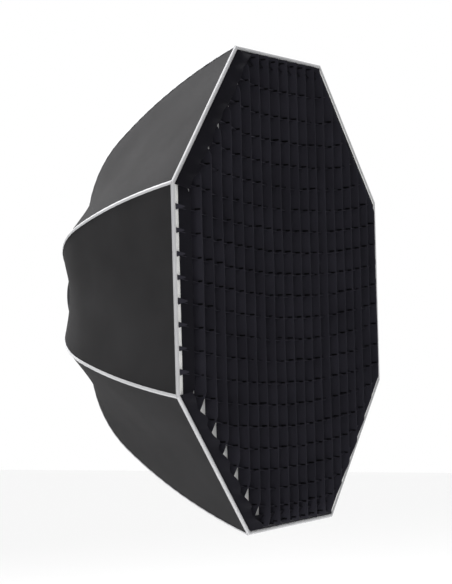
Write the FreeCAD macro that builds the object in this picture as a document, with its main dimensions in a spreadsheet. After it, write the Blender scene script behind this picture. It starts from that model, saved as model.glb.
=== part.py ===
"""Quick-fold octagonal softbox, 120 cm across its corners.

Frame: +Z up, +Y towards the lamp, the fabric opens towards -Y. The origin is the centre of the
mount flange's rear seat. A rib stands at angle a from +X towards +Z; its plane holds the Y axis.
"""
import FreeCAD, Part
import math
import os
import re

import Sketcher
from FreeCAD import Placement, Rotation, Vector

SIZES = {
    # octagon and rib curve
    "rim_radius": 600.0, "rim_depth": 505.0, "root_angle": 76.0, "waist_angle": 38.0, "rim_angle": 22.0,
    "rod_lead": 4.0, "seam_offset": 9.0, "rod_radius": 3.0, "rod_end_gap": 12.0, "tip_radius": 4.5,
    # lamp mount
    "bore_radius": 45.0, "flange_wall": 30.0, "flange_thick": 4.0, "relief_wall": 9.0,
    "relief_depth": 1.0, "spigot_wall": 4.0, "spigot_length": 12.0, "lug_reach": 3.5, "lug_back": 1.0,
    "lug_width": 16.0, "lug_thick": 4.0, "sleeve_wall": 14.0, "keeper_thick": 4.0, "keeper_inset": 1.0,
    "keeper_overlap": 5.0,
    "bolt_radius": 1.5, "head_height": 2.0, "head_radius": 2.85, "key_radius": 1.35, "key_floor": 0.8,
    # speedring and hinges
    "running_gap": 0.05, "face_gap": 0.2, "speedring_thick": 18.0, "speedring_wall": 29.0,
    "hinge_out": 7.0, "hinge_depth": 45.0, "ear_thick": 5.0, "ear_radius": 8.0, "pin_radius": 2.5,
    "ear_gap": 0.2, "ear_root": 10.0, "ear_sink": 4.0, "pin_proud": 1.0,
    # rib sockets
    "socket_width": 12.0, "socket_boss": 7.5, "socket_length": 76.0, "rod_seat": 25.0,
    # runner, posts and stretchers
    "post_inset": 13.0, "post_radius": 4.0, "post_sink": 9.0, "stop_thick": 5.0, "stop_wall": 16.0,
    "runner_start": 54.0, "runner_thick": 16.0, "runner_travel": 58.0, "runner_in": 14.0,
    "runner_out": 12.0, "fork_depth": 22.0, "fork_out": 3.0, "bar_thick": 3.0, "bar_width": 8.0,
    "bar_gap": 0.4, "lug_along": 50.0, "lug_off": 12.0, "bar_pin": 2.0, "bar_eye": 5.5, "runner_eye": 8.5,
    "runner_play": 3.8, "fork_wall": 3.0,
    # controls
    "button_radius": 5.0, "button_length": 20.0, "button_proud": 6.0, "button_travel": 4.0,
    "screw_radius": 3.0, "knob_radius": 9.0, "knob_length": 14.0, "knob_gap": 2.0, "tip_clear": 0.25,
    # cloth
    "cloth_thick": 1.2, "gore_start": 22.0, "gore_sag": 14.0, "rib_clear": 1.5, "seam_clear": 0.3,
    "front_clear": 11.0, "front_gap": 2.0, "sheet_thick": 1.0, "inner_clear": 25.9, "inner_behind": 150.0,
    "grid_inset": 22.0, "grid_height": 32.0, "grid_strip": 1.2, "grid_half_cells": 10.5,
    # how far a cutting tool runs past the face it opens
    "overcut": 1.0,
}
RIBS = 8
STEP = 360.0 / RIBS
HALF = math.radians(STEP / 2)
STATIONS = 10

doc = FreeCAD.newDocument("octabox")
sheet = doc.addObject("Spreadsheet::Sheet", "Sizes")
for row, (alias, value) in enumerate(SIZES.items(), start=1):
    sheet.set(f"A{row}", alias)
    sheet.set(f"B{row}", str(value))
    sheet.setAlias(f"B{row}", alias)
doc.recompute()


SPIGOT = "(bore_radius + spigot_wall)"
SLEEVE = "(bore_radius + sleeve_wall)"
RING = "(bore_radius + sleeve_wall + speedring_wall)"
HINGE = "(bore_radius + sleeve_wall + speedring_wall + hinge_out)"
RING_FRONT = "(flange_thick + face_gap + speedring_thick)"
POST_CIRCLE = "(bore_radius + sleeve_wall + post_inset)"


def formula(words):
    """Write each alias of the sheet in a formula with the sheet's name before it."""
    return re.sub(r"[a-z_]{3,}", lambda word: "Sizes." + word[0], words)


def value(words):
    return float(sheet.evalExpression(formula(words)))


def bound(thing, **formulas):
    for prop, words in formulas.items():
        thing.setExpression(prop, formula(words))
    return thing


def solid(kind, name, place, **formulas):
    thing = bound(doc.addObject("Part::" + kind, name), **formulas)
    thing.Placement = place
    return thing


def along(start, direction):
    """A placement whose local Z runs from a start point along a direction."""
    return Placement(start, Rotation(Vector(0, 0, 1), direction))


def disc(name, radius, back, front):
    """A cylinder about the lamp axis between two distances forward of the seat."""
    return solid("Cylinder", name, along(Vector(0, -value(back), 0), Vector(0, -1, 0)),
                 Radius=radius, Height=f"{front} - ({back})")


def pole(name, start, direction, radius, height):
    return solid("Cylinder", name, along(start, direction), Radius=radius, Height=height)


def crosspin(name, centre, half_length, radius):
    """A cylinder square to the rib's plane, centred on a point of it."""
    place = Placement(centre - Vector(0, 0, value(half_length)), Rotation())
    return solid("Cylinder", name, place, Radius=radius, Height=f"2 * {half_length}")


def slab(name, low, high):
    """A box between two corners, each given as three formulas."""
    corner = Vector(*[value(words) for words in low])
    sides = [f"{b} - ({a})" for a, b in zip(low, high)]
    return solid("Box", name, Placement(corner, Rotation()),
                 Length=sides[0], Width=sides[1], Height=sides[2])


def fuse(name, *things):
    result = doc.addObject("Part::MultiFuse", name)
    result.Shapes = list(things)
    return result


def group(name, *things):
    result = doc.addObject("Part::Compound", name)
    result.Links = list(things)
    return result


def cut(name, base, *tools):
    result = doc.addObject("Part::Cut", name)
    result.Base = base
    result.Tool = tools[0] if len(tools) == 1 else fuse(name + "_tools", *tools)
    return result


def turned(name, master, angle):
    """A copy of a master made in the +X plane, turned to an angle from +X towards +Z."""
    copy = group(name, master)
    copy.Placement = Placement(Vector(), Rotation(Vector(0, 1, 0), -angle))
    return copy


def all_round(name, master, first, count):
    copies = [turned(f"{name}_{i + 1}", master, first + i * 360 / count) for i in range(count)]
    return group(name, *copies)


KEPT = {}


def keep(node, thing):
    """Name a finished sub-part after its node."""
    thing.Label = node
    KEPT[node] = thing


def plane_sketch(body, name, forward, circles):
    """A sketch across the lamp axis, forward of the seat, of circles: (radius, distance along X or None)."""
    sketch = body.newObject("Sketcher::SketchObject", name)
    sketch.AttachmentSupport = [(next(f for f in body.Origin.OriginFeatures if f.Role == "XZ_Plane"), "")]
    sketch.MapMode = "FlatFace"
    sketch.setExpression("AttachmentOffset.Base.z", formula(forward))
    for radius, distance in circles:
        at = 0.0 if distance is None else value(distance)
        index = sketch.addGeometry(Part.Circle(Vector(at, 0, 0), Vector(0, 0, 1), value(radius)), False)
        if distance is None:
            sketch.addConstraint(Sketcher.Constraint("Coincident", index, 3, -1, 1))
        else:
            sketch.addConstraint(Sketcher.Constraint("PointOnObject", index, 3, -1))
            far = sketch.addConstraint(Sketcher.Constraint("DistanceX", -1, 1, index, 3, at))
            sketch.setExpression(f"Constraints[{far}]", formula(distance))
        wide = sketch.addConstraint(Sketcher.Constraint("Radius", index, value(radius)))
        sketch.setExpression(f"Constraints[{wide}]", formula(radius))
    return sketch


def ring_body(name, inner, outer, back, thick):
    """A flat ring, padded forwards."""
    body = doc.addObject("PartDesign::Body", name)
    pad = body.newObject("PartDesign::Pad", name + "_pad")
    pad.Profile = plane_sketch(body, name + "_outline", back, [(outer, None), (inner, None)])
    bound(pad, Length=thick)
    doc.recompute()
    return body


def drill_round(body, name, back, thick, radius, circle, count, first=0.0):
    """Holes through a ring body, spread evenly on a circle from an angle."""
    before = body.Shape.Volume
    pocket = body.newObject("PartDesign::Pocket", name)
    sketch = plane_sketch(body, name + "_circle", back, [(radius, circle)])
    sketch.AttachmentOffset = Placement(sketch.AttachmentOffset.Base, Rotation(Vector(0, 0, 1), first))
    sketch.setExpression("AttachmentOffset.Base.z", formula(back))
    pocket.Profile = sketch
    pocket.Reversed = True
    bound(pocket, Length=thick)
    pattern = body.newObject("PartDesign::PolarPattern", name + "_round")
    pattern.Originals = [pocket]
    pattern.Axis = (sketch, ["N_Axis"])
    pattern.Angle = 360
    pattern.Occurrences = count
    body.Tip = pattern
    doc.recompute()
    hole = math.pi * value(radius) ** 2 * value(thick)
    if abs(before - body.Shape.Volume - count * hole) > 0.01 * count * hole:
        raise RuntimeError(f"{name} did not cut {count} holes")
    return body


# Mount: bayonet spigot behind, seat flange, and a sleeve in front for the speedring to turn on.
KEEPER_BACK = f"({RING_FRONT} + face_gap)"
seat = disc("seat_disc", "bore_radius + flange_wall", "0", "flange_thick")
relief = disc("relief_disc", "bore_radius + relief_wall", "-overcut", "relief_depth")
spigot = disc("spigot_tube", SPIGOT, "-spigot_length", "flange_thick")
sleeve = disc("sleeve_tube", SLEEVE, "0.5 * flange_thick", KEEPER_BACK)
bore = disc("bore_drill", "bore_radius", "-spigot_length - overcut", f"{KEEPER_BACK} + overcut")
lug = slab("lug_block",
           ("bore_radius + lug_back", "spigot_length - lug_thick - lug_back", "-0.5 * lug_width"),
           (f"{SPIGOT} + lug_reach", "spigot_length - lug_back", "0.5 * lug_width"))
mount_whole = fuse("mount_whole", cut("seat_relieved", seat, relief), spigot, sleeve,
                   all_round("lugs", lug, 0, 3))
keep("mount_flange", cut("mount_bored", mount_whole, bore))

# Keeper: a ring screwed to the sleeve's front, which holds the speedring on.
BOLT_HOLE = "bolt_radius + running_gap"
SCREW_CIRCLE = "(bore_radius + 0.5 * sleeve_wall)"
keeper = ring_body("keeper", "bore_radius + keeper_inset", f"{SLEEVE} + keeper_overlap",
                   KEEPER_BACK, "keeper_thick")
drill_round(keeper, "keeper_holes", KEEPER_BACK, "keeper_thick", BOLT_HOLE, SCREW_CIRCLE, 4, STEP)
keep("retaining_ring", keeper)


def cap_screw(name, circle, back, front):
    """A socket-head screw in the +X plane, through a plate between two distances forward of the seat."""
    head = disc(name + "_head", "head_radius", front, f"{front} + head_height")
    key = disc(name + "_key", "key_radius", f"{front} + key_floor", f"{front} + head_height + overcut")
    screw = cut(name, fuse(name + "_body", head, disc(name + "_shank", "bolt_radius", back, front)), key)
    screw.Placement = Placement(Vector(value(circle), 0, 0), Rotation())
    return screw


keeper_screw = cap_screw("keeper_screw", SCREW_CIRCLE, KEEPER_BACK, f"({KEEPER_BACK} + keeper_thick)")
keep("retaining_screws", all_round("keeper_screws", keeper_screw, STEP, 4))

# Speedring: the ring that turns on the sleeve, with a pair of ears for each rib's hinge.
RING_BACK = "(flange_thick + face_gap)"
EAR_NEAR = "(0.5 * socket_width + ear_gap)"
hinge = Vector(value(HINGE), -value("hinge_depth"), 0)
ring = cut("ring_blank", disc("ring_disc", RING, RING_BACK, RING_FRONT),
           disc("ring_hole", f"{SLEEVE} + running_gap", f"{RING_BACK} - overcut", f"{RING_FRONT} + overcut"))
ear_pair = []
for side, low in (("left", EAR_NEAR), ("right", f"-{EAR_NEAR} - ear_thick")):
    foot = slab(f"ear_foot_{side}", (f"{RING} - ear_root", "-hinge_depth", low),
                (f"{HINGE} + ear_radius", f"-{RING_FRONT} + ear_sink", f"{low} + ear_thick"))
    boss = solid("Cylinder", f"ear_boss_{side}", Placement(hinge + Vector(0, 0, value(low)), Rotation()),
                 Radius="ear_radius", Height="ear_thick")
    ear_pair += [foot, boss]
ears = all_round("ears", fuse("ear_pair", *ear_pair), STEP / 2, RIBS)
ear_pin = crosspin("ear_pin", hinge, f"({EAR_NEAR} + ear_thick + pin_proud)", "pin_radius")
pins = all_round("pins", ear_pin, STEP / 2, RIBS)
post_foot = along(Vector(value(POST_CIRCLE), -value(f"{RING_FRONT} - post_sink"), 0), Vector(0, -1, 0))
post_seat = solid("Cylinder", "post_seat", post_foot, Radius="post_radius", Height="post_sink + overcut")
screw_y = -value(f"{RING_BACK} + 0.5 * speedring_thick")
knob_tap = pole("knob_tap", Vector(value(f"{SLEEVE} - overcut"), screw_y, 0), Vector(1, 0, 0),
                "screw_radius + running_gap", "speedring_wall + 2 * overcut")
post_seats = all_round("post_seats", post_seat, 0, 4)
knob_taps = all_round("knob_taps", knob_tap, 3 * STEP, 2)
keep("speedring", cut("speedring_whole", fuse("ring_with_ears", ring, ears), pins, post_seats, knob_taps))
keep("rib_pins", group("rib_pins_group", pins))

# Guide posts stand forward on the speedring; a stop ring, held by four screws, closes their ends.
RUNNER_BACK = "(hinge_depth + runner_start)"
RUNNER_FRONT = f"({RUNNER_BACK} + runner_thick)"
POST_END = f"({RUNNER_FRONT} + runner_travel)"
post = solid("Cylinder", "post", post_foot,
             Radius="post_radius", Height=f"{POST_END} - {RING_FRONT} + post_sink")
keep("guide_posts", all_round("posts", post, 0, 4))
stop = ring_body("stop", f"{POST_CIRCLE} - 0.5 * stop_wall", f"{POST_CIRCLE} + 0.5 * stop_wall",
                 POST_END, "stop_thick")
drill_round(stop, "stop_holes", POST_END, "stop_thick", BOLT_HOLE, POST_CIRCLE, 4)
keep("stop_ring", stop)
post_screw = cap_screw("post_screw", POST_CIRCLE, POST_END, f"({POST_END} + stop_thick)")
keep("post_screws", all_round("post_screws_group", post_screw, 0, 4))

# Runner: slides on the posts; its slots hold the inner ends of the stretchers on short pins.
RUNNER_OUTER = f"({POST_CIRCLE} + runner_out)"
FORK_HALF = "(0.5 * bar_thick + bar_gap)"
FORK_PIN = f"({FORK_HALF} + fork_wall)"
fork_at = Vector(value(f"{POST_CIRCLE} + fork_out"), -value(f"{RUNNER_BACK} + 0.5 * runner_thick"), 0)
blank = cut("runner_blank", disc("runner_disc", RUNNER_OUTER, RUNNER_BACK, RUNNER_FRONT),
            disc("runner_hole", f"{POST_CIRCLE} - runner_in", f"{RUNNER_BACK} - overcut",
                 f"{RUNNER_FRONT} + overcut"))
slot = slab("fork_slot", (f"{RUNNER_OUTER} - fork_depth", f"-{RUNNER_FRONT} - overcut", f"-{FORK_HALF}"),
            (f"{RUNNER_OUTER} + overcut", f"-{RUNNER_BACK} + overcut", FORK_HALF))
fork_pins = all_round("fork_pins", crosspin("fork_pin", fork_at, FORK_PIN, "bar_pin"), STEP / 2, RIBS)
slide_back = Vector(value(POST_CIRCLE), -value(f"{RUNNER_BACK} - overcut"), 0)
slide = pole("post_slide", slide_back, Vector(0, -1, 0),
             "post_radius + running_gap", "runner_thick + 2 * overcut")
BUTTON_IN = f"({RUNNER_OUTER} + button_proud - button_length)"
bore_in = Vector(value(f"{BUTTON_IN} - button_travel - overcut"), fork_at.y, 0)
button_bore = pole("button_bore", bore_in, Vector(1, 0, 0),
                   "button_radius + running_gap", "button_length + button_travel + 2 * overcut")
keep("runner", cut("runner_whole", blank, all_round("fork_slots", slot, STEP / 2, RIBS), fork_pins,
                   all_round("post_slides", slide, 0, 4), all_round("button_bores", button_bore, STEP, 2)))
keep("runner_pins", group("runner_pins_group", fork_pins))

# Latch buttons in the runner and thumb screws in the speedring, two of each.
button = pole("button", Vector(value(BUTTON_IN), fork_at.y, 0), Vector(1, 0, 0),
              "button_radius", "button_length")
stem = pole("knob_stem", Vector(value(f"{SLEEVE} + tip_clear"), screw_y, 0), Vector(1, 0, 0),
            "screw_radius", "speedring_wall + knob_gap - tip_clear")
knob = pole("knob", Vector(value(f"{RING} + knob_gap"), screw_y, 0), Vector(1, 0, 0),
            "knob_radius", "knob_length")
thumb_screw = fuse("thumb_screw", stem, knob)
for i in range(2):
    keep(f"latch_button_{i + 1}", turned(f"button_{i + 1}", button, STEP + 180 * i))
    keep(f"thumb_screw_{i + 1}", turned(f"screw_{i + 1}", thumb_screw, 3 * STEP + 180 * i))


# Rib curve: straight out of the socket, then two tangent arcs that meet the rim. Angles are
# measured from the forward axis; the arcs' radii follow from the rim's radius and depth.
def outward(angle):
    """Unit vector along the rib where it stands at an angle to the forward axis."""
    return Vector(math.sin(angle), -math.cos(angle), 0)


def behind(angle):
    """Unit vector square to the rib, away from the light."""
    return Vector(math.cos(angle), math.sin(angle), 0)


root, waist, tip = (math.radians(size) for size in map(value, ("root_angle", "waist_angle", "rim_angle")))
rod_rim = Vector(value("rim_radius"), hinge.y - value("rim_depth"), 0) - behind(tip) * value("seam_offset")
bend_start = hinge + outward(root) * value("socket_length + rod_lead")
reach = rod_rim - bend_start
first, second = behind(root) - behind(waist), behind(waist) - behind(tip)
spread = first.x * second.y - first.y * second.x
back_bend = -(reach.x * second.y - reach.y * second.x) / spread
front_bend = -(first.x * reach.y - first.y * reach.x) / spread
back_centre = bend_start - behind(root) * back_bend
front_centre = back_centre + behind(waist) * (back_bend - front_bend)
end_angle = tip + value("rod_end_gap") / front_bend


def rod_radius_at(y):
    """Distance from the lamp axis to the rod's centre line, level with a point y on its bends."""
    rise = (y - front_centre.y) / front_bend
    if rise < math.sin(waist):
        return front_centre.x + front_bend * math.cos(math.asin(rise))
    return back_centre.x + back_bend * math.cos(math.asin((y - back_centre.y) / back_bend))


print("bend radii", round(back_bend), round(front_bend))

# Rib socket: boss on the hinge pin, arm for the rod, and a fork for the stretcher.
tilt = Rotation(Vector(0, 0, 1), math.degrees(root) - 90)
lug_at = hinge + outward(root) * value("lug_along") - behind(root) * value("lug_off")
boss = crosspin("socket_hub", hinge, "(0.5 * socket_width)", "socket_boss")
arm = pole("socket_arm", hinge, outward(root), "0.5 * socket_width", "socket_length")
fork = []
for side, low in (("left", FORK_HALF), ("right", f"-{FORK_PIN}")):
    web_place = Placement(lug_at + tilt.multVec(Vector(-value("bar_eye"), 0, value(low))), tilt)
    web = solid("Box", f"fork_web_{side}", web_place,
                Length="2 * bar_eye", Width="lug_off", Height="fork_wall")
    eye = solid("Cylinder", f"fork_eye_{side}", Placement(lug_at + Vector(0, 0, value(low)), Rotation()),
                Radius="bar_eye", Height="fork_wall")
    fork += [web, eye]
fork_rivet = crosspin("fork_rivet", lug_at, FORK_PIN, "bar_pin")
pin_hole = crosspin("socket_pin_hole", hinge, "socket_width", "pin_radius + running_gap")
rod_foot = hinge + outward(root) * value("rod_seat")
rod_hole = pole("socket_rod_hole", rod_foot, outward(root), "rod_radius", "socket_length")
rib_socket = cut("rib_socket_master", fuse("socket_whole", boss, arm, fork_rivet, *fork), pin_hole, rod_hole)

# Rib rod: a straight stretch, two bent ones, and a rounded tip.
straight = pole("rod_straight", rod_foot, outward(root), "rod_radius", "socket_length + rod_lead - rod_seat")


def bent(name, centre, bend, start, end):
    turn = Rotation(Vector(0, 0, 1), math.degrees(end))
    arc = solid("Torus", name, Placement(centre, turn), Radius2="rod_radius")
    arc.Radius1 = bend
    arc.Angle3 = math.degrees(start - end)
    return arc


rod_end = front_centre + behind(end_angle) * front_bend
rib_rod = fuse("rib_rod_master", straight, bent("rod_back_bend", back_centre, back_bend, root, waist),
               bent("rod_front_bend", front_centre, front_bend, waist, end_angle),
               solid("Sphere", "rod_tip", Placement(rod_end, Rotation()), Radius="tip_radius"))

# Stretcher: a flat bar from the socket's fork to the runner, with play at the runner.
bar_way = fork_at - lug_at
bar_turn = Rotation(Vector(0, 0, 1), math.degrees(math.atan2(bar_way.y, bar_way.x)))
low = Vector(0, 0, -value("0.5 * bar_thick"))
bar_corner = lug_at + low + bar_turn.multVec(Vector(0, -value("0.5 * bar_width"), 0))
bar = solid("Box", "bar", Placement(bar_corner, bar_turn), Width="bar_width", Height="bar_thick")
bar.Length = bar_way.Length
rounds = [crosspin("bar_eye_out", lug_at, "(0.5 * bar_thick)", "bar_eye"),
          crosspin("bar_eye_in", fork_at, "(0.5 * bar_thick)", "runner_eye")]
holes = [crosspin("bar_hole_out", lug_at, "bar_thick", "bar_pin + running_gap"),
         crosspin("bar_hole_in", fork_at, "bar_thick", "bar_pin + runner_play")]
stretcher = cut("stretcher_master", fuse("bar_whole", bar, *rounds), *holes)

# Half gore: a thin ruled panel from the rib's seam to the gore's centre line, where it sags inwards.


def seam_stations():
    """Seam points and rib angles from the rear edge to the rim, on the outside of the rib curve."""
    offset = value("seam_offset")
    yield hinge + outward(root) * value("gore_start") + behind(root) * offset, root
    for i in range(STATIONS):
        share = i / (STATIONS - 1)
        angle = root + share * (tip - root)
        centre, bend = (back_centre, back_bend) if angle > waist else (front_centre, front_bend)
        yield centre + behind(angle) * (bend + offset), angle


def gore_corners(seam, angle, sag):
    """The four corners of the panel's section: two by the rib, two on the gore's centre line."""
    thick = behind(angle) * value("cloth_thick")
    edge = Vector(0, 0, value("rib_clear"))
    gap = value("seam_clear")
    corners = [seam + edge]
    for point in (seam - behind(angle) * sag, seam - behind(angle) * sag + thick):
        flat = point.x * math.cos(HALF)
        corners.append(Vector(flat * math.cos(HALF) + gap * math.sin(HALF), point.y,
                              flat * math.sin(HALF) - gap * math.cos(HALF)))
    return corners + [seam + thick + edge]


def half_gore():
    """Flat triangles between the sections; the outer skin is split along the same diagonals as the inner."""
    stations = list(seam_stations())
    last = len(stations) - 1
    rings = [gore_corners(seam, angle, value("gore_sag") * math.sin(math.pi * (i + 2) / (last + 3)))
             for i, (seam, angle) in enumerate(stations)]
    quads = [rings[0], rings[last]]
    for near, far in zip(rings, rings[1:]):
        quads += [(near[k - 1], near[k], far[k], far[k - 1]) for k in range(3)]
        quads.append((near[3], far[3], far[2], near[2]))
    triangles = [part for a, b, c, d in quads for part in ((a, b, c), (a, c, d))]
    faces = [Part.Face(Part.makePolygon([a, b, c, a])) for a, b, c in triangles]
    panel = Part.Solid(Part.makeShell(faces))
    if panel.Volume < 0:
        panel.reverse()
    return panel


gore = doc.addObject("Part::Feature", "half_gore_master")
gore.Shape = half_gore()
gore_mirror = doc.addObject("Part::Mirroring", "half_gore_mirrored")
gore_mirror.Source = gore
gore_mirror.Normal = Vector(0, 0, 1)

for i in range(RIBS):
    angle = (i + 0.5) * STEP
    keep(f"rib_socket_{i + 1}", turned(f"socket_{i + 1}", rib_socket, angle))
    keep(f"rib_rod_{i + 1}", turned(f"rod_{i + 1}", rib_rod, angle))
    keep(f"stretcher_{i + 1}", turned(f"stretch_{i + 1}", stretcher, angle))
    keep(f"gore_{i + 1}_first_half", turned(f"gore_first_{i + 1}", gore, angle))
    keep(f"gore_{i + 1}_second_half", turned(f"gore_second_{i + 1}", gore_mirror, angle + STEP))


# Diffusers: octagonal cloths, one behind the other, and the grid of black cloth strips in front.
def octagon(name, radius, front, thick):
    place = Placement(Vector(0, -value(front) + value(thick), 0),
                      Rotation(Vector(0, 1, 0), STEP / 2).multiply(Rotation(Vector(1, 0, 0), 90)))
    prism = solid("Prism", name, place, Height=thick)
    prism.Polygon = RIBS
    prism.Circumradius = radius
    return prism


RIM = "(hinge_depth + rim_depth)"
FRONT = f"({RIM} + front_gap + sheet_thick)"
keep("front_diffuser", octagon("front_cloth", value("rim_radius - front_clear"), FRONT, "sheet_thick"))
INNER = f"({RIM} - inner_behind)"
inner_radius = rod_radius_at(-value(INNER)) - value("rod_radius + inner_clear")
keep("inner_diffuser", octagon("inner_cloth", inner_radius, INNER, "sheet_thick"))

grid_half = value("rim_radius") * math.cos(HALF) - value("grid_inset")
cell = grid_half / value("grid_half_cells")
strip = value("grid_strip")
grid_diagonal = grid_half * math.sqrt(2)


def cell_outline(x, z):
    """A grid cell inside its strips, cut off by the octagon's sloping sides, or None if nothing is left."""
    reach = (cell - strip) / 2
    corners = [Vector(x + reach * u, 0, z + reach * v) for u, v in ((-1, -1), (1, -1), (1, 1), (-1, 1))]
    for u, v in ((1, 1), (-1, 1), (-1, -1), (1, -1)):
        inside = [grid_diagonal - strip - corner.x * u - corner.z * v for corner in corners]
        kept = []
        for i, corner in enumerate(corners):
            before = i - 1
            if (inside[i] > 0) != (inside[before] > 0):
                share = inside[before] / (inside[before] - inside[i])
                kept.append(corners[before] + (corner - corners[before]) * share)
            if inside[i] > 0:
                kept.append(corner)
        corners = kept
    if len(corners) < 3:
        return None
    wire = Part.makePolygon(corners + corners[:1])
    return wire if Part.Face(wire).Area > strip * cell else None


def grid_solid():
    count = round(2 * value("grid_half_cells"))
    centre_lines = [(i + 0.5 - 0.5 * count) * cell for i in range(count)]
    border = (grid_half + strip / 2) / math.cos(HALF)
    outline = [Vector(border * math.cos((i + 0.5) * 2 * HALF), 0, border * math.sin((i + 0.5) * 2 * HALF))
               for i in range(RIBS)]
    cells = [cell_outline(x, z) for x in centre_lines for z in centre_lines]
    wires = [Part.makePolygon(outline + outline[:1])] + [wire for wire in cells if wire]
    face = Part.makeFace(wires, "Part::FaceMakerBullseye")
    return face.extrude(Vector(0, -value("grid_height"), 0))


grid = doc.addObject("Part::Feature", "grid_strips")
grid.Shape = grid_solid()
grid.Placement = Placement(Vector(0, -value(f"{FRONT} + face_gap"), 0), Rotation())
keep("grid", grid)

doc.recompute()
for thing in doc.Objects:
    if "Invalid" in thing.State or "Error" in thing.State:
        raise RuntimeError(f"{thing.Label} failed: {thing.State}")
for node, thing in KEPT.items():
    if thing.Shape.isNull() or not thing.Shape.isValid() or not thing.Shape.Solids:
        raise RuntimeError(f"{node} has no valid solid")
os.makedirs("parts", exist_ok=True)
for node, thing in KEPT.items():
    thing.Shape.exportStep(f"parts/{node}.step")
print(len(KEPT), "parts")
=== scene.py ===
import math

import bmesh
import bpy
from mathutils import Matrix, Vector, noise


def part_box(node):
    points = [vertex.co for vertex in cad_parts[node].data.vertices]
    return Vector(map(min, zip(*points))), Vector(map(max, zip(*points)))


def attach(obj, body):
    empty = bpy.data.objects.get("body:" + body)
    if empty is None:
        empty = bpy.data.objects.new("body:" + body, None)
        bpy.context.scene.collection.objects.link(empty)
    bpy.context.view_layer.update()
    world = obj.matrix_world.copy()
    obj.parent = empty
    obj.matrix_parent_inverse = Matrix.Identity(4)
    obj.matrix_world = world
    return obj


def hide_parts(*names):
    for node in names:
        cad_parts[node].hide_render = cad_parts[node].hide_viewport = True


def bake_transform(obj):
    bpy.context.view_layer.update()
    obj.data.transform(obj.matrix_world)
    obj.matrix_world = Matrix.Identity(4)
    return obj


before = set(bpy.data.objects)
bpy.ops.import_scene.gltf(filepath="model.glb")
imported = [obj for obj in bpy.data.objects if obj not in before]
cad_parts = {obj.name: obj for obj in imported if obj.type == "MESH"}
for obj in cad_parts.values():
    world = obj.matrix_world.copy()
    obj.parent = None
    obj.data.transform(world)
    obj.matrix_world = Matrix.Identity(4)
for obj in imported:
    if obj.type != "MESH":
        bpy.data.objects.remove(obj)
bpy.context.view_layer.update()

# Camera: it stands low and well to the left of the front, a little tilted, and looks slightly upwards.
camera_place = Vector((-4.642, -2.730, -0.087))
camera_turn = math.radians(-63.29)
camera_rise = math.radians(-0.97)
camera_roll = math.radians(-1.49)
back = Vector((math.sin(camera_turn) * math.cos(camera_rise),
               -math.cos(camera_turn) * math.cos(camera_rise),
               math.sin(camera_rise)))
right = Vector((0, 0, 1)).cross(back).normalized()
up = back.cross(right)
tilted_right = right * math.cos(camera_roll) + up * math.sin(camera_roll)
tilted_up = up * math.cos(camera_roll) - right * math.sin(camera_roll)
camera_data = bpy.data.cameras.new("camera")
camera_data.lens = 133.7
camera_data.sensor_width = 36
camera_data.clip_end = 50
camera = bpy.data.objects.new("camera", camera_data)
bpy.context.scene.collection.objects.link(camera)
camera.matrix_world = Matrix((tilted_right, tilted_up, back)).transposed().to_4x4()
camera.matrix_world.translation = camera_place
bpy.context.scene.camera = camera

# Shell panels: eight gores of black polyester with a silver coated lining, stretched between the
# ribs, where they draw inwards a little. Each is made as two halves that meet on its centre line.
ribs = 8
half_turn = math.pi / ribs
hinge_radius, hinge_y = 0.095, -0.045
rim_radius, rim_y = 0.600, -0.550
root_angle, waist_angle, rim_angle = (math.radians(degrees) for degrees in (76, 38, 22))
straight_run, seam_offset, seam_start = 0.080, 0.009, 0.022
panel_sag = 0.013
panel_wall = 0.0008
pucker_height, pucker_fade = 0.0012, 0.12
ripple_height = 0.012
lamp_axis = Vector((0, 1, 0))


def outward(angle):
    """Radius and y of a unit step along the rib where it stands at an angle to the forward axis."""
    return Vector((math.sin(angle), -math.cos(angle)))


def behind(angle):
    """Radius and y of a unit step out of the back of the rib."""
    return Vector((math.cos(angle), math.sin(angle)))


# The rib is a straight run and two arcs: a tight one down to the waist angle, and a wide one from there.
hinge = Vector((hinge_radius, hinge_y))
bend_start = hinge + outward(root_angle) * straight_run
reach = Vector((rim_radius, rim_y)) - behind(rim_angle) * seam_offset - bend_start
first_turn = behind(root_angle) - behind(waist_angle)
second_turn = behind(waist_angle) - behind(rim_angle)
spread = first_turn.cross(second_turn)
back_bend = -reach.cross(second_turn) / spread
front_bend = -first_turn.cross(reach) / spread
back_centre = bend_start - behind(root_angle) * back_bend
front_centre = back_centre + behind(waist_angle) * (back_bend - front_bend)
stretches = (straight_run - seam_start,
             (root_angle - waist_angle) * (back_bend + seam_offset),
             (waist_angle - rim_angle) * (front_bend + seam_offset))
seam_length = sum(stretches)
rim_half = rim_radius * math.sin(half_turn)


def seam_point(distance, lift=0.0):
    """Radius and y of the seam at a distance along it from its rear end, and the rib's angle there."""
    if distance < stretches[0]:
        along = hinge + outward(root_angle) * (seam_start + distance)
        return along + behind(root_angle) * (seam_offset + lift), root_angle
    distance -= stretches[0]
    if distance < stretches[1]:
        angle = root_angle - distance / (back_bend + seam_offset)
        return back_centre + behind(angle) * (back_bend + seam_offset + lift), angle
    distance -= stretches[1]
    angle = waist_angle - distance / (front_bend + seam_offset)
    return front_centre + behind(angle) * (front_bend + seam_offset + lift), angle


def around(radius, y, angle):
    """A point at a radius from the lamp axis, turned to an angle from +X towards +Z."""
    return Vector((radius * math.cos(angle), y, radius * math.sin(angle)))


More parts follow.
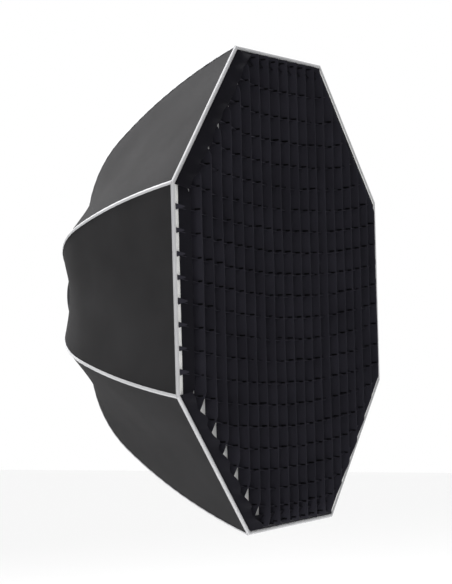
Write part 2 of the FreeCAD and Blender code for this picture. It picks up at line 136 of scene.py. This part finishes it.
def shell_point(distance, across, rib_angle, side, lift=0.0):
    """A point of the shell: across runs from 0 on the rib to 1 on the gore's centre line."""
    flat, angle = seam_point(distance, lift)
    share = distance / seam_length
    sag = panel_sag * (1 - share) * (0.9 + 1.9 * share) * math.sin(math.pi / 2 * across) ** 1.3
    rib_side = around(flat.x, flat.y, rib_angle)
    centre_radius = flat.x * math.cos(half_turn)
    centre_side = around(centre_radius, flat.y, rib_angle + side * half_turn)
    point = rib_side.lerp(centre_side, across)
    normal = around(math.cos(angle), math.sin(angle), rib_angle + side * half_turn)
    return point - normal * sag


def new_sheet(name, columns, rows, place, size):
    """A flat grid primitive whose points are moved to place(u, v), with a UV map in metres."""
    bpy.ops.object.select_all(action="DESELECT")
    bpy.ops.mesh.primitive_grid_add(x_subdivisions=columns, y_subdivisions=rows, size=2)
    piece = bpy.context.object
    piece.name = piece.data.name = name
    spots = [((v.co.x + 1) / 2, (v.co.y + 1) / 2) for v in piece.data.vertices]
    uv = piece.data.uv_layers.active or piece.data.uv_layers.new(name="cloth")
    for loop in piece.data.loops:
        u, v = spots[loop.vertex_index]
        uv.data[loop.index].uv = (u * size[0], v * size[1])
    for vertex, (u, v) in zip(piece.data.vertices, spots):
        vertex.co = place(u, v)
    piece.data.update()
    return piece


def thicken(piece, thickness, offset=-1.0, inside_slot=0):
    """Give a sheet its wall; offset -1 puts it all inwards and 0 half on each side."""
    bpy.context.view_layer.objects.active = piece
    wall = piece.modifiers.new("wall", "SOLIDIFY")
    wall.thickness = thickness
    wall.offset = offset
    wall.material_offset = inside_slot
    bpy.ops.object.modifier_apply(modifier=wall.name)
    bpy.ops.object.shade_smooth_by_angle(angle=math.radians(50))


def facing(piece, way_out):
    """Turn a sheet's faces over if they don't look along way_out(their centre), and shade them smooth."""
    total = sum(face.normal.dot(way_out(face.center)) * face.area for face in piece.data.polygons)
    if total < 0:
        piece.data.flip_normals()
    for face in piece.data.polygons:
        face.use_smooth = True


def off_the_shell(at):
    return Vector((at.x, 0.25, at.z))


def new_material(name, values):
    """A material whose shader has its own uniform values set."""
    material = bpy.data.materials.new(name)
    material.use_nodes = True
    shader = material.node_tree.nodes["Principled BSDF"]
    for socket, value in values.items():
        shader.inputs[socket].default_value = value
    return material


def texture(material, kind, stretch=None, **values):
    """A texture on the object's own coordinates: the socket that gives its grey value."""
    nodes, links = material.node_tree.nodes, material.node_tree.links
    place = nodes.new("ShaderNodeTexCoord").outputs["Object"]
    if stretch:
        mapping = nodes.new("ShaderNodeMapping")
        mapping.inputs["Scale"].default_value = stretch
        links.new(place, mapping.inputs["Vector"])
        place = mapping.outputs["Vector"]
    pattern = nodes.new("ShaderNodeTex" + kind)
    for socket, value in values.items():
        pattern.inputs[socket].default_value = value
    links.new(place, pattern.inputs["Vector"])
    return pattern.outputs["Distance" if kind == "Voronoi" else "Fac"]


def tones(material, grey, dark, light, low=0.0, high=1.0):
    """Turn a grey value into a colour between two tones, reached at low and high."""
    ramp = material.node_tree.nodes.new("ShaderNodeValToRGB")
    for element, position, colour in zip(ramp.color_ramp.elements, (low, high), (dark, light)):
        element.position = position
        element.color = list(colour) + [1]
    material.node_tree.links.new(grey, ramp.inputs["Fac"])
    return ramp.outputs["Color"]


def painted(material, colour):
    shader = material.node_tree.nodes["Principled BSDF"]
    material.node_tree.links.new(colour, shader.inputs["Base Color"])


def roughened(material, grey, low, high):
    nodes, links = material.node_tree.nodes, material.node_tree.links
    spread_out = nodes.new("ShaderNodeMapRange")
    spread_out.inputs["To Min"].default_value = low
    spread_out.inputs["To Max"].default_value = high
    links.new(grey, spread_out.inputs["Value"])
    links.new(spread_out.outputs["Result"], nodes["Principled BSDF"].inputs["Roughness"])


def relief(material, height, distance, strength=1.0):
    """Bump from a grey value, on top of any bump that the material already has."""
    nodes, links = material.node_tree.nodes, material.node_tree.links
    normal = nodes["Principled BSDF"].inputs["Normal"]
    bump = nodes.new("ShaderNodeBump")
    bump.inputs["Strength"].default_value = strength
    bump.inputs["Distance"].default_value = distance
    links.new(height, bump.inputs["Height"])
    if normal.is_linked:
        links.new(normal.links[0].from_socket, bump.inputs["Normal"])
    links.new(bump.outputs["Normal"], normal)


def cloth(name, colour, thread, depth, roughness, sheen, tone=0.15, through=0.0):
    """Plain weave on the UV map: crossing threads, slow changes of tone, and a soft sheen."""
    material = new_material(name, {"Roughness": roughness, "Sheen Weight": sheen, "Sheen Roughness": 0.4,
                                   "Specular IOR Level": 0.04})
    nodes, links = material.node_tree.nodes, material.node_tree.links
    uv = nodes.new("ShaderNodeUVMap")
    weave = nodes.new("ShaderNodeMath")
    weave.operation = "MULTIPLY"
    for direction, socket in zip(("X", "Y"), weave.inputs):
        wave = nodes.new("ShaderNodeTexWave")
        wave.bands_direction = direction
        wave.inputs["Scale"].default_value = 0.314 / thread
        wave.inputs["Distortion"].default_value = 0.6
        wave.inputs["Detail"].default_value = 1.0
        links.new(uv.outputs["UV"], wave.inputs["Vector"])
        links.new(wave.outputs["Fac"], socket)
    dark = [c * (1 - tone) for c in colour]
    light = [min(1, c * (1 + tone)) for c in colour]
    patches = texture(material, "Noise", Scale=9.0, Detail=5.0)
    threads = nodes.new("ShaderNodeMix")
    threads.data_type = "RGBA"
    threads.blend_type = "MULTIPLY"
    threads.inputs["Factor"].default_value = 0.35
    links.new(tones(material, patches, dark, light, 0.3, 0.7), threads.inputs["A"])
    links.new(weave.outputs["Value"], threads.inputs["B"])
    painted(material, threads.outputs["Result"])
    relief(material, weave.outputs["Value"], depth, 0.5)
    if through:
        glow = nodes.new("ShaderNodeBsdfTranslucent")
        glow.inputs["Color"].default_value = list(colour) + [1]
        mix = nodes.new("ShaderNodeMixShader")
        mix.inputs["Fac"].default_value = through
        links.new(nodes["Principled BSDF"].outputs["BSDF"], mix.inputs[1])
        links.new(glow.outputs["BSDF"], mix.inputs[2])
        links.new(mix.outputs["Shader"], nodes["Material Output"].inputs["Surface"])
    return material


shell_black = cloth("shell_black", (0.0222, 0.0219, 0.0228), 0.0012, 0.0004, 0.9, 0.0)
lining_silver = new_material("lining_silver", {"Metallic": 0.85})
pebble = texture(lining_silver, "Voronoi", Scale=420)
painted(lining_silver, tones(lining_silver, pebble, (0.46, 0.46, 0.47), (0.74, 0.74, 0.75)))
roughened(lining_silver, pebble, 0.28, 0.45)
relief(lining_silver, pebble, 0.0006)

# What hangs on one rib: the gore, its half, the side of the rib that it lies on, the rib and its angle.
halves = []
for i in range(1, ribs + 1):
    halves.append((i, "first", 1, i, (2 * i - 1) * half_turn))
    halves.append((i, "second", -1, i % ribs + 1, (2 * i + 1) * half_turn))


def hang_on_rib(piece):
    """Bake the piece's transform into its mesh."""
    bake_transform(piece)


for i, half, side, rib_number, rib_turn in halves:

    def panel_place(u, v):
        pucker = noise.noise(Vector((0.5 * (i - 1), 46 * v, 3 * side)))
        pucker *= pucker_height * math.exp(-u / pucker_fade)
        ripple = noise.noise(Vector((2.2 * u * side + i - 1, 5.0 * v, 9.1)))
        ripple *= ripple_height * (u * (1 - u)) ** 2
        return shell_point(v * seam_length, u, rib_turn, side, pucker + ripple)

    panel = new_sheet(f"gore_{i}_{half}_cloth", 12, 60, panel_place, (rim_half, seam_length))
    facing(panel, off_the_shell)
    panel.data.materials.append(shell_black)
    panel.data.materials.append(lining_silver)
    thicken(panel, panel_wall, -1, 1)
    hang_on_rib(panel)
    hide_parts(f"gore_{i}_{half}_half")

# Rib binding: white woven tape, sewn over the seam on each rib with a row of stitches along each edge.
tape_width = 0.0101
tape_wall = 0.0009
tape_start = 0.004
tape_lift, tape_crown, tape_ripple = 0.0014, 0.0010, 0.0002
tape_white = (0.50, 0.50, 0.51)
row_inset = 0.0013
stitch_pitch, stitch_share = 0.0042, 0.68
thread_half, thread_proud = 0.00035, 0.0004
thread_grey = (0.30, 0.30, 0.31, 1)


def sewn(material, across, *rows):
    """Add rows of sewing stitches to a cloth, each at a distance along the UV direction across them."""
    nodes, links = material.node_tree.nodes, material.node_tree.links
    weave_colour = nodes["Principled BSDF"].inputs["Base Color"].links[0].from_socket
    split = nodes.new("ShaderNodeSeparateXYZ")
    links.new(nodes.new("ShaderNodeUVMap").outputs["UV"], split.inputs["Vector"])
    over = split.outputs[across]
    along = split.outputs["Y" if across == "X" else "X"]

    def step(operation, first, second=0.0):
        node = nodes.new("ShaderNodeMath")
        node.operation = operation
        for socket, value in zip(node.inputs, (first, second)):
            if isinstance(value, float):
                socket.default_value = value
            else:
                links.new(value, socket)
        return node.outputs["Value"]

    stitch = step("LESS_THAN", step("FRACT", step("DIVIDE", along, stitch_pitch)), stitch_share)
    lines = None
    for row in rows:
        off_line = step("ABSOLUTE", step("SUBTRACT", over, row))
        near = step("LESS_THAN", off_line, thread_half)
        lines = step("MAXIMUM", lines, near) if lines else near
    mask = step("MULTIPLY", lines, stitch)
    thread = nodes.new("ShaderNodeMix")
    thread.data_type = "RGBA"
    thread.inputs["B"].default_value = thread_grey
    links.new(mask, thread.inputs["Factor"])
    links.new(weave_colour, thread.inputs["A"])
    painted(material, thread.outputs["Result"])
    relief(material, mask, thread_proud)
    return material


binding_white = sewn(cloth("binding_white", tape_white, 0.0011, 0.0005, 0.8, 0.1, 0.08),
                     "X", row_inset, tape_width - row_inset)
for i in range(1, ribs + 1):
    rib_turn = (2 * i - 1) * half_turn

    def tape_place(u, v):
        off = (u - 0.5) * tape_width
        distance = tape_start + v * (seam_length - tape_start)
        half_width = seam_point(distance)[0].x * math.sin(half_turn)
        crown = tape_lift + tape_crown * (1 - abs(2 * u - 1)) + tape_ripple * math.sin(distance * 900)
        return shell_point(distance, abs(off) / half_width, rib_turn, 1 if off >= 0 else -1, crown)

    tape = new_sheet(f"rib_{i}_binding", 7, 130, tape_place, (tape_width, seam_length))
    facing(tape, off_the_shell)
    tape.data.materials.append(binding_white)
    thicken(tape, tape_wall)
    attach(tape, f"rib_{i}")

# Rim binding: the same tape folded over the shell's front edge, so that a narrow strip of it shows
# outside on the panels and a wider one lies over the border of the front diffuser.
edge_outside, edge_inside = 0.0035, 0.0068
edge_width = edge_outside + edge_inside
edge_wall = 0.0010
off_panel, off_diffuser, edge_bulge = 0.0012, 0.0032, 0.0012
fold_forward, fold_out = 0.0010, 0.0006
hem_row_inset = 0.0016
rim_white = sewn(cloth("rim_white", tape_white, 0.0011, 0.0005, 0.8, 0.1, 0.08),
                 "Y", hem_row_inset, edge_width - row_inset)
for i, half, side, rib_number, rib_turn in halves:

    def rim_place(u, v):
        past_edge = v * edge_width - edge_outside
        pucker = 0.0003 * noise.noise(Vector((40 * u, i - 1, side)))
        if past_edge < 0:
            out = math.sin(rim_angle) * past_edge + off_panel + pucker
            forward = math.cos(rim_angle) * past_edge + fold_forward
        else:
            out = -past_edge + fold_out
            forward = off_diffuser + edge_bulge * (1 - (2 * past_edge / edge_inside - 1) ** 2) + pucker
        radius = rim_radius + out / math.cos(half_turn)
        edge = around(radius, rim_y - forward, rib_turn)
        middle = around(radius * math.cos(half_turn), rim_y - forward, rib_turn + side * half_turn)
        return edge.lerp(middle, u)

    hem = new_sheet(f"rim_{i}_{half}_binding", 40, 9, rim_place, (rim_half, edge_width))
    facing(hem, lambda at: Vector((at.x, -0.3, at.z)))
    hem.data.materials.append(rim_white)
    thicken(hem, edge_wall, 0)
    hang_on_rib(hem)

# Rear hem: each gore's rear edge, round the open neck of the shell, is bound with black tape.
hem_width = 0.0102
hem_wall = 0.0008
hem_lift, hem_crown = 0.0011, 0.0008
neck_half = seam_point(0)[0].x * math.sin(half_turn)
hem_black = sewn(cloth("hem_black", (0.014, 0.014, 0.015), 0.0010, 0.0004, 0.8, 0.1),
                 "Y", hem_row_inset, hem_width - hem_row_inset)
for i, half, side, rib_number, rib_turn in halves:

    def neck_place(u, v):
        crown = hem_lift + hem_crown * (1 - (2 * v - 1) ** 2)
        return shell_point(v * hem_width, u, rib_turn, side, crown)

    neck = new_sheet(f"neck_{i}_{half}_hem", 12, 4, neck_place, (neck_half, hem_width))
    facing(neck, lambda at: lamp_axis)
    neck.data.materials.append(hem_black)
    thicken(neck, hem_wall)
    hang_on_rib(neck)

# Front and inner diffusers: thin white cloth, held flat by its edge, with shallow waves.
diffuser_wall = 0.0006
inside_rim = 0.001
diffuser_white = cloth("diffuser_white", (0.93, 0.93, 0.92), 0.0010, 0.0002, 0.75, 0.2, 0.03, 0.35)
for name, wave_height in (("front_diffuser", 0.0012), ("inner_diffuser", 0.004)):
    low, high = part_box(name)
    middle_y = (low[1] + high[1]) / 2
    circumradius = rim_radius - inside_rim if name == "front_diffuser" else high[0] / math.cos(half_turn)
    bpy.ops.object.select_all(action="DESELECT")
    bpy.ops.mesh.primitive_circle_add(vertices=ribs, radius=circumradius, fill_type="TRIFAN")
    diffuser = bpy.context.object
    diffuser.name = diffuser.data.name = name + "_cloth"
    bpy.ops.object.mode_set(mode="EDIT")
    bpy.ops.mesh.subdivide(number_cuts=15)
    bpy.ops.object.mode_set(mode="OBJECT")
    flat_uv = diffuser.data.uv_layers.active or diffuser.data.uv_layers.new(name="cloth")
    for loop in diffuser.data.loops:
        spot = diffuser.data.vertices[loop.vertex_index].co
        flat_uv.data[loop.index].uv = (spot.x, spot.y)
    turn = Matrix.Rotation(half_turn, 4, "Z")
    for vertex in diffuser.data.vertices:
        spot = turn @ vertex.co
        edge = 1 - (spot.length / circumradius) ** 4
        wave = wave_height * edge * noise.noise(Vector((spot.x * 5, spot.y * 5, 2.7)))
        vertex.co = Vector((spot.x, middle_y + wave, spot.y))
    facing(diffuser, lambda at: -lamp_axis)
    diffuser.data.materials.append(diffuser_white)
    thicken(diffuser, diffuser_wall, 0)
    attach(diffuser, name)
    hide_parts(name)

# Grid: upright strips of black coated cloth, crossed by lower rows in 50 mm cells. The strips get lower
# towards the rim and droop between the sides; slack at the lower left leaves small gaps there.
grid_low, grid_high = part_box("grid")
grid_half = grid_high[0] - 0.0006
grid_back = grid_high[1]
grid_tall = grid_high[1] - grid_low[1]
lines = 22
cell = 2 * grid_half / (lines - 1)
strip_wall = 0.0011
least_height = 0.003
most_height = grid_tall - 0.002
row_share, outer_row_share, outer_upright_share = 0.62, 0.55, 0.5
outer_upright_lean, outer_row_lean = 0.027, 0.020
flutter, front_sink = 0.003, 0.004
deepest_droop = 0.038
rim_flat = rim_radius * math.cos(half_turn)
grid_black = cloth("grid_black", (0.0255, 0.0246, 0.0325), 0.0010, 0.0003, 0.7, 0.0)
band_black = cloth("band_black", (0.0085, 0.0082, 0.011), 0.0010, 0.0003, 0.85, 0.0)


def slope_gap(x, z):
    """Distance inwards from the nearest sloping side."""
    return rim_flat - (abs(x) + abs(z)) / math.sqrt(2)


def strip_height(x, z):
    """Low at the rim and full further in; the strips rise soonest on the upper left slope."""
    rise = 0.95 if z > 0 > x else 0.56
    spare = 0.008 if x > 0 else 0.004
    slope_limit = rise * slope_gap(x, z) - spare
    side_limit = 0.5 * (rim_flat - abs(x)) - spare
    return min(most_height, max(least_height, min(slope_limit, side_limit)))


def edge_lean(x, z):
    """1 on the outermost strips, which their rows pull over towards the middle, and 0 further in."""
    return max(0, 1 - (rim_flat - 0.021 - max(abs(x), abs(z))) / 0.030)


def droop(x, z):
    """How far the slack lets the cells sink: most in the middle, and nothing at the rim."""
    near_slope = min(1, max(0, slope_gap(x, z) - 0.008) / 0.10)
    across_share = max(0, 1 - (x / grid_half) ** 2)
    return deepest_droop * near_slope * across_share * max(0, 1 - (z / grid_half) ** 6)


strip_pieces = []
for upright in (True, False):
    for k in range(lines):
        at = -grid_half + k * cell
        outermost = abs(at) > grid_half - 0.01
        run = min(rim_flat - 0.015 if upright else grid_half, (rim_flat - 0.017) * math.sqrt(2) - abs(at))

        def strip_place(u, v):
            x, z = (at, (2 * u - 1) * run) if upright else ((2 * u - 1) * run, at)
            lean = flutter * v * noise.noise(Vector((at * 9, u * 6, 5 if upright else 8)))
            tall = strip_height(x, z)
            if outermost and upright:
                spare = 0.012 if x > 0 else 0.004
                tall = min(most_height, max(least_height, slope_gap(x, z) - spare))
            z -= droop(x, z) + front_sink * v * (1 - (z / grid_half) ** 2)
            if upright:
                x += lean - math.copysign(outer_upright_lean * v, x) * outermost
                tall *= outer_upright_share if outermost else 1
            else:
                z += lean - math.copysign(outer_row_lean * v, z) * outermost
                tall *= outer_row_share if outermost else row_share
            return Vector((x, grid_back - v * tall, z))

        strip = new_sheet(f"strip_{k}_{upright}", 4 * lines, 2, strip_place, (2 * run, grid_tall))
        thicken(strip, strip_wall, 0)
        strip.data.materials.append(band_black if outermost else grid_black)
        strip_pieces.append(strip)

# Painted shade: a small near-black bar at each slot where a row crosses an upright strip stands for the
# shade in the slot's gap.
shade_dash_wide, shade_dash_tall = 0.0024, 0.0036
shade_dash_deep, shade_dash_varies, shade_dash_wanders = 0.012, 0.006, 0.004
no_shade_dashes_left, no_shade_dashes_right = 0.03, 0.055
bpy.ops.object.select_all(action="DESELECT")
bpy.ops.mesh.primitive_cube_add(size=1)
shade_dash = bpy.context.object
bpy.ops.object.mode_set(mode="EDIT")
bpy.ops.mesh.bevel(offset=0.18, segments=2, affect="EDGES")
bpy.ops.object.mode_set(mode="OBJECT")
shade_dash_mesh = bmesh.new()
for column in range(lines):
    for row in range(lines):
        x, z = -grid_half + column * cell, -grid_half + row * cell
        if slope_gap(x, z) < (no_shade_dashes_right if x > 0 else no_shade_dashes_left):
            continue
        shift = noise.noise(Vector((column * 1.9, row * 2.3, 0.4)))
        deep = shade_dash_deep + shade_dash_varies * shift
        y = grid_back - strip_height(x, z) + 0.003 + deep / 2 + 0.004 * edge_lean(x, z)
        before = len(shade_dash_mesh.verts)
        shade_dash_mesh.from_mesh(shade_dash.data)
        shade_dash_mesh.verts.ensure_lookup_table()
        for corner in shade_dash_mesh.verts[before:]:
            corner.co = Vector((x + corner.co.x * shade_dash_wide, y + corner.co.y * deep,
                                z - droop(x, z) + shade_dash_wanders * shift + corner.co.z * shade_dash_tall))
shade_dash_mesh.to_mesh(shade_dash.data)
shade_dash_mesh.free()
shade_dash.name = shade_dash.data.name = "grid_painted_slot_shade"
# Painted shade: the near-black colour of the slot bars.
shade_dash.data.materials.append(cloth("painted_slot_shade_black", (0.0025, 0.0025, 0.003), 0.0006, 0.0002, 0.8, 0.0))
for face in shade_dash.data.polygons:
    face.use_smooth = True
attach(shade_dash, "grid")

# The bands that hold the strips' ends: low on the two right slopes, taller at the top and bottom, where
# they run out low at the right end, and tallest on the two left slopes. The upright sides have none.
# The sides are numbered from +X towards +Z, and each has its band's height.
band_heights = {1: 0.004, 2: 0.012, 3: 0.030, 5: 0.024, 6: 0.012, 7: 0.004}
scalloped_side, right_slopes, level_sides = 5, (1, 7), (2, 6)
band_width, band_sink, end_taper = 0.014, 0.003, 0.04
band_half = (rim_radius - 0.008) * math.sin(half_turn)
for side, band_tall in band_heights.items():
    side_turn = side * 2 * half_turn
    across_x, across_z = math.cos(side_turn), math.sin(side_turn)
    band_inset = 0.013 if side in right_slopes else 0.0075

    def band_place(u, v):
        along = (2 * u - 1) * band_half
        inset = rim_flat - band_inset - band_width * v
        inset += 0.45 * band_tall * v * noise.noise(Vector((along * 26, side, 6.2)))
        scallop = 1 + 0.16 * noise.noise(Vector((along * 34, side, 1.1)))
        if side == scalloped_side:
            scallop += 0.22 * math.cos(2 * math.pi * along / cell / 1.41)
        if side in level_sides:
            scallop *= min(1, max(0.08, (band_half + across_z * along) / end_taper))
        return Vector((across_x * inset - across_z * along, grid_back - v * band_tall * scallop,
                       across_z * inset + across_x * along - band_sink * v))

    band = new_sheet(f"band_{side}", 90, 4, band_place, (2 * band_half, 0.02))
    thicken(band, strip_wall, 0)
    band.data.materials.append(band_black)
    strip_pieces.append(band)

# Tabs: on the four flat sides each strip's end is drawn out to the rim by a short tapering tab, and the
# white cloth shows between them.
tab_wall = 0.0009
left_turn = 2
for k in range(lines):
    at = -grid_half + k * cell
    if abs(at) > rim_half - 0.012:
        continue
    for turn in range(4):
        loose = 0.5 + 0.5 * noise.noise(Vector((k * 1.7, turn * 3.1, 4.4)))
        half_width = 0.0045 + 0.004 * loose
        hang = 0.006 + 0.009 * loose if turn == left_turn else 0.002

        def tab_place(u, v):
            far = rim_flat - 0.0072 - u * (rim_flat - grid_half - 0.0052 + 0.004 * loose)
            wide = at - droop(grid_half, at) + (2 * v - 1) * half_width * (1 - 0.8 * u)
            spot = Matrix.Rotation(turn * math.pi / 2, 3, "Y") @ Vector((far, 0, wide))
            return Vector((spot.x, grid_back - 0.0012 - u * hang, spot.z))

        tab = new_sheet(f"tab_{k}_{turn}", 3, 3, tab_place, (0.02, 2 * half_width))
        thicken(tab, tab_wall, 0)
        tab.data.materials.append(grid_black)
        strip_pieces.append(tab)

bpy.ops.object.select_all(action="DESELECT")
for strip in strip_pieces:
    strip.select_set(True)
bpy.context.view_layer.objects.active = strip_pieces[0]
bpy.ops.object.join()
strips = bpy.context.object
strips.name = strips.data.name = "grid_cloth_strips"
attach(strips, "grid")
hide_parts("grid")

# Speedring, stop ring and keeper: turned from aluminium and anodised black; fine turning marks run
# round the lamp axis, and the sharp edges are broken by a small chamfer.
alloy_black = new_material("alloy_black", {"Metallic": 0.7})
turning_marks = texture(alloy_black, "Wave", Scale=260, Distortion=1.5, Detail=3.0)
turning_marks.node.wave_type = "RINGS"
turning_marks.node.rings_direction = "Y"
alloy_cloud = texture(alloy_black, "Noise", Scale=45, Detail=6.0)
painted(alloy_black, tones(alloy_black, alloy_cloud, (0.020, 0.020, 0.022), (0.040, 0.040, 0.043)))
roughened(alloy_black, turning_marks, 0.30, 0.46)
relief(alloy_black, turning_marks, 0.0001, 0.25)


def finish_hardware(node, material, chamfer=0):
    """Give a CAD node its finish and, with modifiers only, joined faces and a small chamfer."""
    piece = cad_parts[node]
    piece.data.materials.clear()
    piece.data.materials.append(material)
    piece.modifiers.new("joined", "WELD").merge_threshold = 0.00002
    if chamfer:
        edges = piece.modifiers.new("chamfer", "BEVEL")
        edges.width = chamfer
        edges.segments = 2
        edges.limit_method = "ANGLE"
        edges.angle_limit = math.radians(40)


for node in ("speedring", "stop_ring", "retaining_ring"):
    finish_hardware(node, alloy_black, 0.0005)

# Mount flange, guide posts, pins, screws and stretchers: bright steel, with long fine grinding marks
# and a few darker smears.
steel_bright = new_material("steel_bright", {"Metallic": 1.0})
grinding_marks = texture(steel_bright, "Noise", stretch=(900, 30, 900), Scale=1.0, Detail=4.0)
smears = texture(steel_bright, "Noise", Scale=28, Detail=5.0)
painted(steel_bright, tones(steel_bright, smears, (0.23, 0.23, 0.24), (0.36, 0.36, 0.37), 0.3, 0.65))
roughened(steel_bright, grinding_marks, 0.32, 0.52)
relief(steel_bright, grinding_marks, 0.0001, 0.2)
for node, chamfer in (("mount_flange", 0.0005), ("guide_posts", 0.0004), ("rib_pins", 0.0004),
                      ("runner_pins", 0.0002), ("retaining_screws", 0.0002), ("post_screws", 0.0002)):
    finish_hardware(node, steel_bright, chamfer)
for i in range(1, ribs + 1):
    finish_hardware(f"stretcher_{i}", steel_bright, 0.0004)

# Rib sockets and runner: moulded in black glass-filled nylon, with the fine spark texture of the mould.
nylon_black = new_material("nylon_black", {})
spark = texture(nylon_black, "Noise", Scale=1400, Detail=3.0)
nylon_cloud = texture(nylon_black, "Noise", Scale=60)
painted(nylon_black, tones(nylon_black, nylon_cloud, (0.016, 0.016, 0.017), (0.030, 0.030, 0.031)))
roughened(nylon_black, spark, 0.48, 0.62)
relief(nylon_black, spark, 0.00012, 0.35)
finish_hardware("runner", nylon_black, 0.0005)
for i in range(1, ribs + 1):
    finish_hardware(f"rib_socket_{i}", nylon_black, 0.0006)

# Rib rods: drawn glass fibre in black resin, slightly glossy, with faint grey fibres showing.
rod_fibre = new_material("rod_fibre", {"Coat Weight": 0.35, "Coat Roughness": 0.18})
fibres = texture(rod_fibre, "Noise", Scale=320, Detail=6.0)
painted(rod_fibre, tones(rod_fibre, fibres, (0.010, 0.010, 0.011), (0.055, 0.055, 0.052), 0.4, 0.75))
roughened(rod_fibre, fibres, 0.28, 0.45)
for i in range(1, ribs + 1):
    finish_hardware(f"rib_rod_{i}", rod_fibre)

# Thumb screws: a moulded knob with finger flutes and a dished end, on a steel shank with a rounded tip.
# Each points out from the lamp axis, so it is shaped upright and then laid in its direction.
knob_radius, knob_length, knob_flutes, flute_depth = 0.009, 0.014, 12, 0.05
shank_radius, shank_in_knob = 0.003, 0.001
thumb_screw_turns = {1: math.radians(135), 2: math.radians(315)}


def reaches_out(node, turn_angle):
    """The nearest and the furthest that a node stands from the lamp axis in one direction."""
    reaches = [abs(v.co.x * math.cos(turn_angle) + v.co.z * math.sin(turn_angle))
               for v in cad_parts[node].data.vertices]
    return min(reaches), max(reaches)


def upright_rod(name, sides, radius, length):
    """A cylinder in edit mode, with only its upper end selected."""
    bpy.ops.object.select_all(action="DESELECT")
    bpy.ops.mesh.primitive_cylinder_add(vertices=sides, radius=radius, depth=length)
    rod = bpy.context.object
    rod.name = rod.data.name = name
    bpy.ops.object.mode_set(mode="EDIT")
    mesh = bmesh.from_edit_mesh(rod.data)
    for face in mesh.faces:
        face.select_set(face.normal.z > 0.9)
    bmesh.update_edit_mesh(rod.data)
    return rod


def round_edges(rod, width, sharper_than):
    bpy.ops.object.mode_set(mode="OBJECT")
    rounded = rod.modifiers.new("rounded", "BEVEL")
    rounded.width = width
    rounded.segments = 3
    rounded.limit_method = "ANGLE"
    rounded.angle_limit = math.radians(sharper_than)
    bpy.ops.object.modifier_apply(modifier=rounded.name)


def lay_outwards(rod, node, turn_angle, start, end):
    """Lay an upright rod between two distances from the lamp axis, level with the middle of its node."""
    low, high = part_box(node)
    axis_turn = Matrix.Rotation(-turn_angle, 4, "Y") @ Matrix.Rotation(math.pi / 2, 4, "Y")
    centre = around((start + end) / 2, (low[1] + high[1]) / 2, turn_angle)
    for vertex in rod.data.vertices:
        vertex.co = axis_turn @ vertex.co + centre
    bpy.ops.object.shade_smooth_by_angle(angle=math.radians(45))


for i, turn_angle in thumb_screw_turns.items():
    node = f"thumb_screw_{i}"
    inner_end, outer_end = reaches_out(node, turn_angle)
    knob_start = outer_end - knob_length

    knob = upright_rod(node + "_knob", 72, knob_radius, knob_length)
    bpy.ops.mesh.inset(thickness=0.0022)
    bpy.ops.mesh.inset(thickness=0.0006, depth=-0.0012)
    round_edges(knob, 0.0008, 40)
    for vertex in knob.data.vertices:
        spot = vertex.co.copy()
        if spot.xy.length > 0.0070:
            spot.xy *= 1 - flute_depth * (1 - math.cos(knob_flutes * math.atan2(spot.y, spot.x)))
        vertex.co = spot
    lay_outwards(knob, node, turn_angle, knob_start, outer_end)
    knob.data.materials.append(nylon_black)
    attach(knob, node)
    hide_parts(node)

    shank_end = knob_start + shank_in_knob
    shank = upright_rod(node + "_shank", 72, shank_radius, shank_end - inner_end)
    round_edges(shank, 0.0008, 40)
    lay_outwards(shank, node, turn_angle, inner_end, shank_end)
    shank.data.materials.append(steel_bright)
    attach(shank, node)

# Latch buttons: moulded plungers with a ringed top for the thumb.
button_radius = 0.005
latch_button_turns = {1: math.radians(45), 2: math.radians(225)}
for i, turn_angle in latch_button_turns.items():
    node = f"latch_button_{i}"
    inner_end, outer_end = reaches_out(node, turn_angle)
    button = upright_rod(node + "_top", 64, button_radius, outer_end - inner_end)
    bpy.ops.mesh.inset(thickness=0.0010)
    for ring in range(3):
        bpy.ops.mesh.inset(thickness=0.0003, depth=-0.0004)
        bpy.ops.mesh.inset(thickness=0.0004)
        bpy.ops.mesh.inset(thickness=0.0003, depth=0.0004)
    round_edges(button, 0.0005, 60)
    lay_outwards(button, node, turn_angle, inner_end, outer_end)
    button.data.materials.append(nylon_black)
    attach(button, node)
    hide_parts(node)

# Floor and light: a plain pale floor, a large soft light above and behind, and a weak one at the left.
floor_z = -1.9
light_aim = Vector((0, -0.3, 0))
bpy.ops.object.select_all(action="DESELECT")
bpy.ops.mesh.primitive_plane_add(size=40, location=(0, 0, floor_z))
floor = bpy.context.object
floor.name = "floor"
floor_pale = new_material("floor_pale", {"Base Color": (0.93, 0.93, 0.93, 1), "Roughness": 0.9})
floor.data.materials.append(floor_pale)
world = bpy.data.worlds.new("studio")
bpy.context.scene.world = world
world.use_nodes = True
world.node_tree.nodes["Background"].inputs["Color"].default_value = (1, 1, 1, 1)
world.node_tree.nodes["Background"].inputs["Strength"].default_value = 1.0
for name, place, width, power in (("rear_top_light", (1.2, 2.6, 4.2), 2.0, 1080),
                                  ("left_light", (-5.5, -3.6, 0.8), 2.5, 30)):
    light_data = bpy.data.lights.new(name, "AREA")
    light_data.shape = "SQUARE"
    light_data.size = width
    light_data.energy = power
    light = bpy.data.objects.new(name, light_data)
    light.location = place
    light.rotation_euler = (light_aim - Vector(place)).to_track_quat("-Z", "Y").to_euler()
    bpy.context.scene.collection.objects.link(light)
bpy.context.scene.view_settings.view_transform = "Standard"
